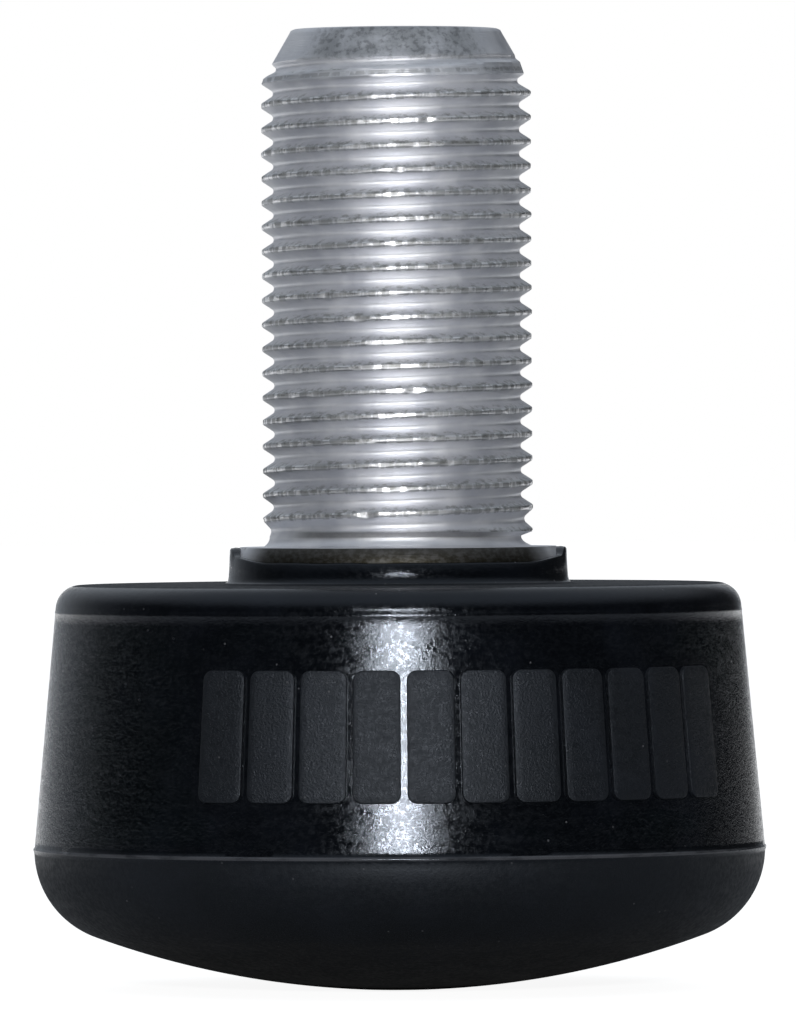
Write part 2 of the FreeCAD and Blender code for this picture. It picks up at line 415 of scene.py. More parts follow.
# %% Run-out, neck and chamfer
GROOVE_START_Z = SEAT_Z + 0.17  # the lowest groove, on the +X side
GROOVE_TURNS = (0.3, 0.5, 1.0, 1.5, 2.0, 18.6, 19.6)  # turns from its start
GROOVE_SHARES = (0.66, 0.60, 0.72, 0.90, 1, 1, 1.28)  # its depth there, as a share of the full one
LOW_CREST_TURNS = (0, 0.5, 1.0)
LOW_CREST_DEPTHS = (0.25, 0.06, 0.0)
HELIX_FOOT_Z = SEAT_Z + 0.85

NECK_HEIGHT = 0.6
NECK_DEPTH = 0.40
RUN_IN_DEPTH = 0.38  # further down where the groove ran into the neck
RUN_IN_DEG = 10
RUN_IN_HALF_WIDTH_DEG = 48

LEAD_ANGLE = math.radians(30)
LEAD_DEPTH = 1.65
END_EDGE_BREAK = 0.3
LEAD_TOP_Z = STEM_END_Z - END_EDGE_BREAK
END_RADIUS = THREAD_RADIUS - LEAD_DEPTH
WORN_LEAD_Z = STEM_END_Z - 1.8  # crests below this are worn more upright where the chamfer cuts them
LEAD_WEAR = 0.4
LEAD_WEAR_FADE = 0.4


def groove_share(turns):
    """How deep the groove is at a number of turns from its start, as a share of its full depth."""
    return np.interp(turns, GROOVE_TURNS, GROOVE_SHARES)


def cut_radius(turns, depth_in_section):
    """Radius of the threaded surface. The first crests are a little low."""
    blank = THREAD_RADIUS - np.interp(turns, LOW_CREST_TURNS, LOW_CREST_DEPTHS)
    return blank - depth_in_section * groove_share(turns)


def neck_radius():
    """Radius of the neck at each column. It is deepest beside +X, where the groove ran into it."""
    from_run_in = np.abs((np.degrees(ring_angles) - RUN_IN_DEG + 180) % 360 - 180)
    share = np.clip(1 - from_run_in / RUN_IN_HALF_WIDTH_DEG, 0, 1)
    return THREAD_RADIUS - NECK_DEPTH - RUN_IN_DEPTH * share**0.7


def lead_radius(height, crest_height):
    """The lead chamfer at a height, and how far the crest that it cuts is worn upright."""
    worn = np.clip((WORN_LEAD_Z - crest_height) / LEAD_WEAR_FADE, 0, 1)
    cut_at = height + LEAD_WEAR * worn * (crest_height - height)
    return END_RADIUS + (LEAD_TOP_Z - cut_at) * math.tan(LEAD_ANGLE), worn


print(f"neck {neck_radius().min():.2f} to {neck_radius().max():.2f} mm, chamfer from {END_RADIUS:.2f} mm")

# %% [markdown]
# ## Worn crests
#
# Aluminium tears a little as it is threaded, and the crests rub flat in use. That is what
# makes them sparkle. Along the helix a seeded random line takes a few hundredths of a
# millimetre off the crest, flat in places and hardly at all in others, with a rare deeper nick.

# %% Crest wear along the helix
TURNS = int((LEAD_TOP_Z - GROOVE_START_Z) / PITCH) + 4
WEAR_DEPTH = 0.060
NICK_DEPTH = 0.16
NICK_COUNT = 34
wear_random = np.random.default_rng(41)


def smoothed(values, width):
    kernel = np.hanning(width + 2)[1:-1]
    return np.convolve(values, kernel / kernel.sum(), mode="same")


def crest_wear():
    """How far the crest is lowered at each point along the whole helix, in millimetres."""
    steps = TURNS * COLUMNS
    fine = np.clip(smoothed(wear_random.random(steps), 3) * 2.4 - 0.7, 0, 1)
    coarse = np.clip(smoothed(wear_random.random(steps), 13) * 3 - 1, 0, 1)
    wear = WEAR_DEPTH * (0.45 * fine + 0.55 * coarse)
    for _ in range(NICK_COUNT):
        middle = wear_random.integers(0, steps)
        half_width = wear_random.uniform(1.0, 3.2)
        reach = np.abs(np.arange(steps) - middle) / half_width
        wear += NICK_DEPTH * wear_random.uniform(0.3, 1) * np.clip(1 - reach**2, 0, 1)
    return wear


wear_line = crest_wear()
print(f"crest wear: mean {wear_line.mean():.3f} mm, deepest {wear_line.max():.3f} mm over {TURNS} turns")

# %% [markdown]
# ## Wind the thread
#
# Each row is a helix: its height grows by one pitch a turn. Past the two ends, every point is
# pressed on the last ring, and faces that lose their size there are dropped. So the helical
# part meets the neck and the round end without a seam.

# %% Threaded surface
def thread_point(turn, lap, share, depth_in_section, wear):
    """Height, radius, and how much crest and upper flank there is at one point of the helix."""
    turns = turn + lap + (1 if share > 0.5 else 0)
    height = GROOVE_START_Z + PITCH * (turn + lap + share)
    crestness = 1 - depth_in_section / THREAD_DEPTH
    radius = min(cut_radius(turns, depth_in_section), THREAD_RADIUS - wear)
    cone, worn = lead_radius(height, height + PITCH * (0.5 - share))
    if cone < radius:
        return height, cone - wear * worn, crestness**3 * worn, 0.0
    return height, radius, crestness, crestness if share >= 0.5 else 0.0


def wound_thread(mesh, foot_ring, top_ring):
    """Adds the helical surface between two rings, and returns crest and upper values by point."""
    rows = len(section)
    values = {}
    grid = []
    for step in range(-2 * rows, (TURNS - 1) * rows):
        turn, place = divmod(step, rows)
        share, depth_in_section = section[place]
        line = []
        for column, angle in enumerate(ring_angles):
            wear = wear_line[((turn + 2) * COLUMNS + column) % len(wear_line)]
            lap = column / COLUMNS
            height, radius, crest, upper = thread_point(turn, lap, share, depth_in_section, wear)
            if height <= HELIX_FOOT_Z:
                line.append(foot_ring[column])
            elif height >= LEAD_TOP_Z:
                line.append(top_ring[column])
            else:
                point = mesh.add_point(radius, angle, height)
                values[point] = (crest, upper)
                line.append(point)
        grid.append(line)
    for step in range(len(grid) - 1):
        lower, upper_line = grid[step], grid[step + 1]
        for i in range(COLUMNS - 1):
            mesh.face([lower[i], lower[i + 1], upper_line[i + 1], upper_line[i]])
        if step + rows + 1 < len(grid):
            next_lower, next_upper = grid[step + rows], grid[step + rows + 1]
            mesh.face([lower[-1], next_lower[0], next_upper[0], upper_line[-1]])
    return values


print(f"the helix starts {HELIX_FOOT_Z - SEAT_Z:.2f} mm above the seat")

# %% [markdown]
# ## Under the thread
#
# Below the thread come the flat seat, its steep bevel and the shoulder that sits in the rubber.
# Lower still, out of sight, a splined spigot holds the anchor plate and its riveted tail
# closes over it. The splines could be copies of one tooth joined to a cylinder. Here the radius
# simply rises and falls from column to column, so they are part of the same rings.

# %% Shoulder, splines and neck
SHOULDER_RADIUS = THREAD_RADIUS + 1.6
BEVEL_WIDTH = 0.25
BEVEL_HEIGHT = 0.8
SPLINE_COUNT = 24
SPLINE_TIP_RADIUS = 6.0
SPLINE_ROOT_RADIUS = 5.55


def spline_radii():
    """Radius of the spigot at each column: straight teeth all round."""
    share = (ring_angles * SPLINE_COUNT / (2 * math.pi)) % 1
    return SPLINE_TIP_RADIUS - (SPLINE_TIP_RADIUS - SPLINE_ROOT_RADIUS) * (1 - np.abs(2 * share - 1))


def ledge_radius():
    """Radius of the threaded surface at the foot of the helix, at each column."""
    shares, depths = zip(*section, (1.0, THREAD_DEPTH))
    radii = []
    for lap in ring_angles / (2 * math.pi):
        turn, share = divmod((HELIX_FOOT_Z - GROOVE_START_Z) / PITCH - lap, 1)
        turns = turn + lap + (1 if share > 0.5 else 0)
        radii.append(cut_radius(turns, np.interp(share, shares, depths)))
    return np.array(radii)


def neck_outline():
    """The neck from the seat up: a flare, the narrow part, and the ledge under the thread."""
    neck = neck_radius()
    flare = THREAD_RADIUS - 0.03 - neck
    rises = np.linspace(0, 1, 7)
    outline = [(neck + flare * (1 - rise) ** 2.4, SEAT_Z + NECK_HEIGHT * rise) for rise in rises]
    return [*outline, (ledge_radius(), HELIX_FOOT_Z)]


print(f"shoulder {SHOULDER_RADIUS:.2f} mm in radius, {SPLINE_COUNT} splines on the spigot")

# %% [markdown]
# ## Scuffs, stains, torn edges and painted shade
#
# The lead chamfer is scuffed from finding its hole, with painted shade added at its front and
# back. Dark residue and painted shade lie on the shoulder's bevel, and painted shade lies in the
# corner of the neck. The bevel's edge is torn where nothing covers it, at its two sides, and gets a
# painted highlight there. This could be painted on a texture. Here a number is stored at each point
# of the mesh instead, and the material reads it by name, so that the marks stay with the shape and
# are sharp from any distance.

# %% Wear on the stem
END_FACE_SCUFF = 0.35
# painted shade in the corner of the neck
NECK_PAINTED_SHADE = 0.65
# torn grain and a painted highlight on the bevel's two sides
TORN_SHINE_AND_HIGHLIGHT = 0.92


def smooth_step(value, low, high):
    share = min(1.0, max(0.0, (value - low) / (high - low)))
    return share * share * (3 - 2 * share)


def facing(place):
    """How far a point faces the front or the back: 1 there, and 0 at the two sides."""
    return abs(place.y) / max(1e-9, math.hypot(place.x, place.y))


def scuff_and_shade_at(place):
    """Scuffs and painted shade on the lead chamfer, most on its front and back, and a few scuffs all over the end
    face.
    """
    if place.z / MM > STEM_END_Z - 0.02:
        return END_FACE_SCUFF
    on_lead = smooth_step(place.z / MM, LEAD_TOP_Z - 1.9, LEAD_TOP_Z - 1.2)
    # painted shade with the scuffs: strongest where the chamfer faces front or back
    return on_lead * smooth_step(facing(place), 0.55, 0.85)


def residue_and_shade_at(place):
    """Dark residue and painted shade on the shoulder's bevel, except at the two sides, and painted shade in the
    corner of the neck.
    """
    above_seat = place.z / MM - SEAT_Z
    # residue and painted shade on the bevel, kept off the two sides
    bevel = smooth_step(-above_seat, -0.01, 0.06) * smooth_step(facing(place), 0.28, 0.62)
    # painted shade in the crease between the neck and the thread
    corner = smooth_step(above_seat, 0.45, 0.62) * (1 - smooth_step(above_seat, 0.84, 1.0))
    return max(bevel, NECK_PAINTED_SHADE * corner * smooth_step(facing(place), 0.45, 0.8))


def torn_and_highlight_at(place):
    """Torn, shiny grain and a painted highlight on the bevel's upper edge, beside +X and -X where no residue or
    painted shade covers it.
    """
    near_edge = abs(place.z / MM - SEAT_Z + 0.25) < 0.27
    on_bevel = near_edge and math.hypot(place.x, place.y) / MM > SHOULDER_RADIUS - 0.4
    return TORN_SHINE_AND_HIGHLIGHT * on_bevel * (1 - smooth_step(facing(place), 0.28, 0.55))


def store_numbers(piece, name, values):
    """Stores a number at points of the mesh, for its material to read."""
    attribute = piece.data.attributes.new(name, "FLOAT", "POINT")
    for point, value in values.items():
        attribute.data[point].value = value


print("stored for the metal: crest, upper, scuffed, stained")

# %% [markdown]
# ## The stem as one mesh
#
# The real stem is one piece of metal. Separate meshes for thread and shoulder would be quicker
# to make, but a seam would show in the metal. So the outline is turned in two parts, below and
# above the thread, and the wound surface joins their rings. The end face keeps the cone of the
# lathe's centre. The mesh stands for the plain CAD stem.

# %% Stem piece
TAIL_RADIUS = 7.6
TAIL_EDGE_BREAK = 0.4
PUNCH_MARK_RADIUS = 3.5
PUNCH_MARK_DEPTH = 0.5
CENTRE_MARK_RADIUS = 1.3
CENTRE_MARK_HALF_ANGLE = math.radians(30)


def build_stem():
    mesh = RingMesh()
    teeth = spline_radii()
    foot = mesh.lathe([
        (0, STEM_FOOT_Z + PUNCH_MARK_DEPTH),
        (PUNCH_MARK_RADIUS - PUNCH_MARK_DEPTH, STEM_FOOT_Z + PUNCH_MARK_DEPTH),
        (PUNCH_MARK_RADIUS, STEM_FOOT_Z),
        (TAIL_RADIUS - TAIL_EDGE_BREAK, STEM_FOOT_Z),
        (TAIL_RADIUS, STEM_FOOT_Z + TAIL_EDGE_BREAK),
        (TAIL_RADIUS, PLATE_BOTTOM_Z),
        (teeth, PLATE_BOTTOM_Z),
        (teeth, PLATE_TOP_Z),
        (SHOULDER_RADIUS, PLATE_TOP_Z),
        (SHOULDER_RADIUS, SEAT_Z - BEVEL_HEIGHT),
        (SHOULDER_RADIUS - BEVEL_WIDTH, SEAT_Z - 0.05),
        (SHOULDER_RADIUS - BEVEL_WIDTH - 0.05, SEAT_Z),
        *neck_outline(),
    ])
    end = mesh.lathe([
        (END_RADIUS, LEAD_TOP_Z),
        (END_RADIUS - 0.12, STEM_END_Z - 0.08),
        (END_RADIUS - END_EDGE_BREAK, STEM_END_Z),
        (CENTRE_MARK_RADIUS, STEM_END_Z),
        (0, STEM_END_Z - CENTRE_MARK_RADIUS / math.tan(CENTRE_MARK_HALF_ANGLE)),
    ])
    values = wound_thread(mesh, foot[-1], end[0])
    piece = make_piece("finished_stem", mesh.points, mesh.faces, stem_metal)
    # the bevel's sides take torn grain and a painted highlight through the crest numbers
    crests = {v.index: torn_and_highlight_at(v.co) for v in piece.data.vertices}
    crests.update({point: crest for point, (crest, upper) in values.items()})
    store_numbers(piece, "crest", crests)
    store_numbers(piece, "upper", {point: upper for point, (crest, upper) in values.items()})
    store_numbers(piece, "scuffed_and_shaded", {v.index: scuff_and_shade_at(v.co) for v in piece.data.vertices})
    store_numbers(piece, "stained_and_shaded", {v.index: residue_and_shade_at(v.co) for v in piece.data.vertices})
    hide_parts("threaded_stem")


build_stem()

# %% [markdown]
# ## The anchor plate
#
# Inside the rubber a pressed steel plate carries the load. Nobody sees it in one piece, but
# the puck may be shown cut open one day, so it gets its own finish: steel with a dull grey
# bonding coat, thin at the edges. The CAD shape is right, so the node stays and only its
# material changes.

# %% Bonding coat on the plate
STEEL = (0.42, 0.41, 0.40)
COATED_STEEL = (0.20, 0.195, 0.19)


def bonded_steel_finish():
    finish = Finish("bonded_steel", STEEL, 1.0, 0.5)
    coat = finish.remap(finish.noise(1.8, 5), 0.35, 0.6)
    rolled = finish.noise(0.8, 3, where=finish.stretched(0.3, 3, 3))
    finish.use("Base Color", finish.mix(coat, STEEL, COATED_STEEL))
    finish.use("Roughness", finish.remap(coat, 0, 1, 0.42, 0.7))
    finish.bump((rolled, 0.01), (finish.noise(0.3, 4), 0.01))
    return finish.material


plate_node = frame["nodes"]["anchor_plate"]
plate_node.data.materials.clear()
plate_node.data.materials.append(bonded_steel_finish())
print("anchor plate keeps its CAD mesh of", len(plate_node.data.polygons), "faces")

# %% [markdown]
# ## The puck
#
# The puck is one moulding: a domed tread, a rounded edge up to the line where the mould's
# halves met, a side that leans in so that it leaves the mould, and a flat top. Thin fins of
# rubber show where the mould's parts met. The frame gives boxes but no radii, so the sizes of
# the outline stand here, as in the drawing.

# %% Sizes of the puck
TREAD_RADIUS = 21.2  # at the parting line
CROWN_RADIUS = 51.0  # of the dome
STANDING_FLAT_RADIUS = 3.0
CROWN_EDGE_RADIUS = 5.3
SIDE_HEIGHT = 15.4
SIDE_DRAFT = math.radians(5.3)
TOP_EDGE_ROUND = 1.4
FLASH_REACH = 0.085  # the fin at the parting line
FLASH_HALF = 0.11
STEP_REACH = 0.035  # the step at the upper mould line
LIP_WALL = 0.4
LIP_DIP = 0.84  # how far the rim drops at front and back
LIP_TOP_Z = SEAT_Z - 0.02

CROWN_EDGE_CENTRE = TREAD_RADIUS - CROWN_EDGE_RADIUS
DOME_CENTRE_Z = math.sqrt(CROWN_RADIUS**2 - STANDING_FLAT_RADIUS**2)
PARTING_Z = DOME_CENTRE_Z - math.sqrt((CROWN_RADIUS - CROWN_EDGE_RADIUS) ** 2 - CROWN_EDGE_CENTRE**2)
PUCK_TOP_Z = PARTING_Z + SIDE_HEIGHT


def side_radius(height):
    """Radius of the leaning side at a height."""
    return TREAD_RADIUS - (height - PARTING_Z) * math.tan(SIDE_DRAFT)


def quarter_round(centre_r, centre_z, radius, start_deg, end_deg, steps):
    """Outline points on an arc, angles counted from the outward direction."""
    angles = np.radians(np.linspace(start_deg, end_deg, steps + 1))
    return [(centre_r + radius * math.cos(a), centre_z + radius * math.sin(a)) for a in angles]


print(f"parting line {PARTING_Z:.2f} mm, top {PUCK_TOP_Z:.2f} mm above the floor")

# %% [markdown]
# ## Black rubber
#
# Moulded rubber copies the mould: the wall is smooth and a little glossy, with faint clouds of
# release wax and a fine tooth that breaks up highlights. Its gloss changes from place to place
# more than its colour does, so most of the network below goes into roughness and bump. A few
# specks of dust are added, the flat top and the tread are duller, and a pale uneven line marks
# where the mould's halves met. The tones are blacker than real rubber, because the photograph
# shows its shaded sides almost black.

# %% Rubber finish
PLAIN_RUBBER = (0.008, 0.009, 0.011)
SHEEN_TINT = (0.80, 0.88, 1.0, 1)
DEEP_BLACK = (0.0015, 0.002, 0.003)
SOFT_BLACK = (0.004, 0.005, 0.0075)
DUST = (0.20, 0.20, 0.21)
PARTING_LINE = (0.075, 0.077, 0.085)
FLAT_TOP_DULLNESS = 0.55
TREAD_DULLNESS = 0.30
DIMPLE_DEPTH = 0.010


def rubber_tone(finish, smears, dust, height):
    """Two near blacks in clouds, with dust and the pale line where the mould parted."""
    clouds = finish.noise(4.5, 5, 0.6)
    tone = finish.mix(finish.remap(clouds, 0.4, 0.75), DEEP_BLACK, SOFT_BLACK)
    tone = finish.mix(finish.math("MULTIPLY", dust, 0.4), tone, DUST)
    on_line = finish.band(height, (PARTING_Z - 0.02, PARTING_Z + 0.03), (PARTING_Z + 0.16, PARTING_Z + 0.24))
    flash = finish.math("MULTIPLY", on_line, finish.remap(smears, 0.3, 0.6, 0.35, 1.0))
    return finish.mix(finish.math("MULTIPLY", flash, 0.8), tone, PARTING_LINE)


def rubber_roughness(finish, lowest, highest, smears, dust, height):
    """Uneven roughness, higher on the flat top, on the tread and on dust."""
    rough = finish.remap(finish.noise(0.3, 3, 0.6), 0.38, 0.62, lowest, highest)
    rough = finish.math("ADD", rough, finish.remap(smears, 0.35, 0.65, -0.02, 0.05))
    flat_top = finish.band(height, (PUCK_TOP_Z - 0.10, PUCK_TOP_Z - 0.02), (PUCK_TOP_Z + 0.03, PUCK_TOP_Z + 0.10))
    rough = finish.math("ADD", rough, finish.math("MULTIPLY", flat_top, FLAT_TOP_DULLNESS))
    tread = finish.remap(height, (PARTING_Z - 0.25) * MM, (PARTING_Z - 0.05) * MM, 1.0, 0.0)
    rough = finish.math("ADD", rough, finish.math("MULTIPLY", tread, TREAD_DULLNESS))
    return finish.math("ADD", rough, finish.math("MULTIPLY", dust, 0.3))


def rubber_finish(name, lowest_roughness, highest_roughness, tooth_mm):
    finish = Finish(name, PLAIN_RUBBER, 0.0, highest_roughness)
    finish.shader.inputs["Specular Tint"].default_value = SHEEN_TINT
    tooth = finish.noise(0.14, 3, 0.7)
    smears = finish.noise(1.2, 4, 0.6, where=finish.stretched(0.5, 0.5, 2.2))
    dust = finish.remap(finish.specks(0.9), 0.05, 0.085, 1.0, 0.0)
    dust = finish.math("MULTIPLY", dust, finish.remap(finish.noise(3.0, 2), 0.5, 0.62))
    height = finish.height()
    rough = rubber_roughness(finish, lowest_roughness, highest_roughness, smears, dust, height)
    finish.use("Base Color", rubber_tone(finish, smears, dust, height))
    finish.use("Roughness", rough)
    finish.bump((finish.noise(0.45, 3, 0.6), DIMPLE_DEPTH), (tooth, tooth_mm))
    return finish.material


puck_rubber = rubber_finish("moulded_rubber", 0.09, 0.21, 0.012)
print("made", puck_rubber.name)

# %% [markdown]
# ## Uneven edges
#
# The rim of the lip and the fin of flash are uneven, because nobody trims them by machine. The
# lip reaches the seat only at two places, left and right, and dips at front and back.
# A slow wave made of a few sines with seeded phases is enough for that, and it closes on itself
# round the ring, which plain random numbers would not do.

# %% Uneven edges
edge_random = random.Random(7)


def wavy(amplitude, lowest=2, highest=24):
    """A closed wavy line round the ring, from sines of random phase."""
    total = np.zeros(COLUMNS)
    for waves in range(lowest, highest):
        phase = edge_random.uniform(0, 2 * math.pi)
        total += np.sin(waves * ring_angles + phase) / math.sqrt(waves)
    return amplitude * total / np.abs(total).max()


def lip_height():
    """Height of the lip's rim: up to the seat beside +X and -X, lower at front and back."""
    from_side = np.degrees(np.arcsin(np.abs(np.sin(ring_angles))))
    quick = np.clip((from_side - 7) / 7, 0, 1)
    slow = np.clip((from_side - 12) / 30, 0, 1)
    dip = 0.6 * quick * quick * (3 - 2 * quick) + 0.4 * slow * slow * (3 - 2 * slow)
    return LIP_TOP_Z - LIP_DIP * dip + wavy(0.04) * dip


lip_top = lip_height()
print(f"lip rim from {lip_top.min():.2f} to {lip_top.max():.2f} mm")

# %% [markdown]
# ## The puck as one turned outline
#
# The moulding is one piece of rubber. It could be built from a sphere, a cone and a ring joined
# with Booleans, but the mould's thin marks would be lost in the joins. Here one outline runs from
# the middle of the tread over the rounded edge, the side and the lip's rim, and down the inside
# to the anchor plate. Where an edge is uneven, its ring has a size of its own at each column.

# %% Puck piece
def crown_outline():
    """Standing flat, dome and rounded edge, from the axis out to the parting line."""
    flat = math.asin(STANDING_FLAT_RADIUS / CROWN_RADIUS)
    meeting = math.asin(CROWN_EDGE_CENTRE / (CROWN_RADIUS - CROWN_EDGE_RADIUS))
    dome = [
        (CROWN_RADIUS * math.sin(a), max(0.0, DOME_CENTRE_Z - CROWN_RADIUS * math.cos(a)))
        for a in np.linspace(flat, meeting, 24)
    ]
    edge = quarter_round(
        CROWN_EDGE_CENTRE, PARTING_Z, CROWN_EDGE_RADIUS, math.degrees(meeting) - 90, -2, steps=22
    )
    return [(0, 0), *dome, *edge[1:]]


def side_outline():
    """Flash, leaning side, the mould's step and the rounded top edge."""
    flash = FLASH_REACH * (0.75 + wavy(0.25, 3, 40))
    outline = [
        (side_radius(PARTING_Z) + flash, PARTING_Z + FLASH_HALF * 0.6),
        (side_radius(PARTING_Z) + flash * 0.9, PARTING_Z + FLASH_HALF * 1.2),
        (side_radius(PARTING_Z + 2 * FLASH_HALF), PARTING_Z + 2 * FLASH_HALF),
    ]
    slope = math.degrees(SIDE_DRAFT)
    round_r = side_radius(PUCK_TOP_Z) - TOP_EDGE_ROUND * math.tan(math.radians((90 - slope) / 2))
    round_z = PUCK_TOP_Z - TOP_EDGE_ROUND
    round_foot_z = round_z + TOP_EDGE_ROUND * math.sin(SIDE_DRAFT)
    step_z = round_foot_z - 0.3
    outline += [(side_radius(z), z) for z in np.linspace(PARTING_Z + 0.5, step_z - 0.1, 24)]
    outline += [
        (side_radius(step_z) + STEP_REACH * (0.8 + wavy(0.2, 3, 30)), step_z),
        (side_radius(step_z + 0.1), step_z + 0.1),
    ]
    outline += quarter_round(round_r, round_z, TOP_EDGE_ROUND, slope, 90, steps=12)
    return outline


def lip_outline():
    """From the flat top up the lip, over its rim and down inside it to the anchor plate."""
    outer = SHOULDER_RADIUS + LIP_WALL
    inner = SHOULDER_RADIUS
    bevel_share = np.clip((lip_top - (SEAT_Z - BEVEL_HEIGHT)) / BEVEL_HEIGHT, 0, 1)
    rim_inner = inner - BEVEL_WIDTH * bevel_share
    return [
        (15.0, PUCK_TOP_Z),
        (outer + 0.45, PUCK_TOP_Z),
        (outer + 0.18, PUCK_TOP_Z + 0.05),
        (outer + 0.05, PUCK_TOP_Z + 0.18),
        (outer, PUCK_TOP_Z + 0.45),
        (outer - 0.04, (PUCK_TOP_Z + lip_top) / 2),
        (outer - 0.08, lip_top - 0.14),
        (outer - 0.14, lip_top - 0.04),
        ((outer + rim_inner) / 2 - 0.05, lip_top),
        (rim_inner + 0.04, lip_top - 0.02),
        (rim_inner, lip_top - 0.08),
        (inner, SEAT_Z - BEVEL_HEIGHT - 0.12),
        (inner, PLATE_TOP_Z),
        (0, PLATE_TOP_Z),
    ]


def build_puck():
    mesh = RingMesh()
    mesh.lathe(crown_outline() + side_outline() + lip_outline())
    piece = make_piece("moulded_puck", mesh.points, mesh.faces, puck_rubber)
    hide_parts("rubber_puck")


build_puck()

# %% [markdown]
# ## Grip bars on the side
#
# Many pucks carry a band of raised pads on the side, moulded with a dull, stippled face. A row
# of plain upright bars does that here. Each bar is a closed shape: rings of a rounded
# bar outline, sunk into the wall at the back and bevelled at the front, then bent round the
# leaning side. A Shrinkwrap modifier could do the bending. In code it takes one line a point.

# %% Bars
BAR_COUNT = 11
BAR_FIRST_DEG = -119.0
BAR_LAST_DEG = -34.0
BAR_WIDTH = 2.7
BAR_LOW_Z = 11.3
BAR_HIGH_Z = 18.8
BAR_CORNER = 0.55
BAR_RELIEF = 0.26
BAR_SUNK = 0.25
BAR_EDGE = 0.09


def rounded_bar(inset, corner_steps=5):
    """Outline of a bar with rounded corners, as (across, up) from its middle."""
    half_width = BAR_WIDTH / 2 - inset
    half_height = (BAR_HIGH_Z - BAR_LOW_Z) / 2 - inset
    corner = max(0.05, BAR_CORNER - inset)
    outline = []
    for quarter, (side, up) in enumerate(((1, 1), (-1, 1), (-1, -1), (1, -1))):
        for step in range(corner_steps + 1):
            angle = math.radians(90 * (quarter + step / corner_steps))
            across = side * (half_width - corner) + corner * math.cos(angle)
            along = up * (half_height - corner) + corner * math.sin(angle)
            outline.append((across, along))
    return outline


def add_bar(points, faces, middle_angle):
    """Adds one closed bar, centred on an angle round the puck."""
    middle_z = (BAR_LOW_Z + BAR_HIGH_Z) / 2
    middle_radius = side_radius(middle_z)
    layers = [(0.9, -BAR_SUNK), (0.0, -BAR_SUNK), (0.0, BAR_RELIEF - BAR_EDGE), (BAR_EDGE * 0.35, BAR_RELIEF - 0.02)]
    layers += [(BAR_EDGE, BAR_RELIEF), (0.45, BAR_RELIEF), (0.9, BAR_RELIEF)]
    rings = []
    for inset, lift in layers:
        ring = []
        for across, along in rounded_bar(inset):
            height = middle_z + along
            radius = side_radius(height) + lift
            angle = middle_angle + across / middle_radius
            points.append((radius * math.cos(angle) * MM, radius * math.sin(angle) * MM, height * MM))
            ring.append(len(points) - 1)
        rings.append(ring)
    for lower, upper in zip(rings, rings[1:]):
        for i in range(len(lower)):
            j = (i + 1) % len(lower)
            faces.append([lower[i], lower[j], upper[j], upper[i]])
    faces.append(list(reversed(rings[0])))
    faces.append(rings[-1])


def build_bars():
    points, faces = [], []
    for angle in np.linspace(math.radians(BAR_FIRST_DEG), math.radians(BAR_LAST_DEG), BAR_COUNT):
        add_bar(points, faces, angle)
    stipple = rubber_finish("stippled_rubber", 0.32, 0.50, 0.055)
    make_piece("grip_bars", points, faces, stipple)


build_bars()

# %% [markdown]
# ## The floor and the background
#
# The object stands on a plain pale floor in front of plain white. The camera sees the floor as
# white, and it keeps the soft shadow under the puck, because part of its brightness still
# comes from the lamp and the room. Shiny surfaces see it pale too, brightest where it runs back towards the
# backdrop. Close to the puck a real floor is in shade, so there its glow fades: reflected in
# black rubber, a floor that glows at the foot would look wrong.

# %% Floor
FLOOR_SIZE = 6.0
FLOOR_GREY = 0.45
FLOOR_GLOW = 0.92
MIRRORED_NEAR = 0.20
MIRRORED_FAR = 0.6
NEAR_FADE = (0.050, 0.120)  # metres from the puck's axis
FAR_FADE = (0.05, 0.25)  # metres towards the backdrop
BACKDROP_DIRECTION = (-0.225, 0.974, 0.0)


def mirror_rays(tree, rays):
    """1 for rays that a glossy or a clear surface sends out, and 0 for others."""
    return calculate(tree, "MAXIMUM", rays.outputs["Is Glossy Ray"], rays.outputs["Is Transmission Ray"])


def fade(tree, value, start, end, level=1.0):
    """Rises smoothly from 0 to a level between two values."""
    node = add_node(tree, "ShaderNodeMapRange", {"interpolation_type": "SMOOTHSTEP"},
                    Value=value, From_Min=start, From_Max=end, To_Max=level)
    return node.outputs["Result"]


def towards(tree, direction, target, start, end, level=1.0):
    """Rises from 0 to a level as a direction, or a place, goes further towards a target."""
    along = add_node(tree, "ShaderNodeVectorMath", {"operation": "DOT_PRODUCT"}, _0=direction, _1=target)
    return fade(tree, along.outputs["Value"], start, end, level)


def floor_glow(tree):
    """Glow of the floor: plain for the camera, and for mirrored rays less the nearer the puck."""
    rays = add_node(tree, "ShaderNodeLightPath")
    place = add_node(tree, "ShaderNodeNewGeometry").outputs["Position"]
    distance = add_node(tree, "ShaderNodeVectorMath", {"operation": "LENGTH"}, _0=place).outputs["Value"]
    near = fade(tree, distance, *NEAR_FADE, MIRRORED_NEAR)
    far = towards(tree, place, BACKDROP_DIRECTION, *FAR_FADE, MIRRORED_FAR)
    mirrored = calculate(tree, "MULTIPLY", calculate(tree, "ADD", near, far), mirror_rays(tree, rays))
    return calculate(tree, "MULTIPLY_ADD", rays.outputs["Is Camera Ray"], FLOOR_GLOW, mirrored)


def floor_material():
    material = bpy.data.materials.new("pale_floor")
    material.use_nodes = True
    tree = material.node_tree
    tree.nodes.clear()
    glow = add_node(tree, "ShaderNodeEmission", Strength=floor_glow(tree))
    diffuse = add_node(tree, "ShaderNodeBsdfDiffuse", Color=(FLOOR_GREY, FLOOR_GREY, FLOOR_GREY, 1))
    both = add_node(tree, "ShaderNodeAddShader", _0=diffuse.outputs["BSDF"], _1=glow.outputs["Emission"])
    add_node(tree, "ShaderNodeOutputMaterial", Surface=both.outputs["Shader"])
    return material


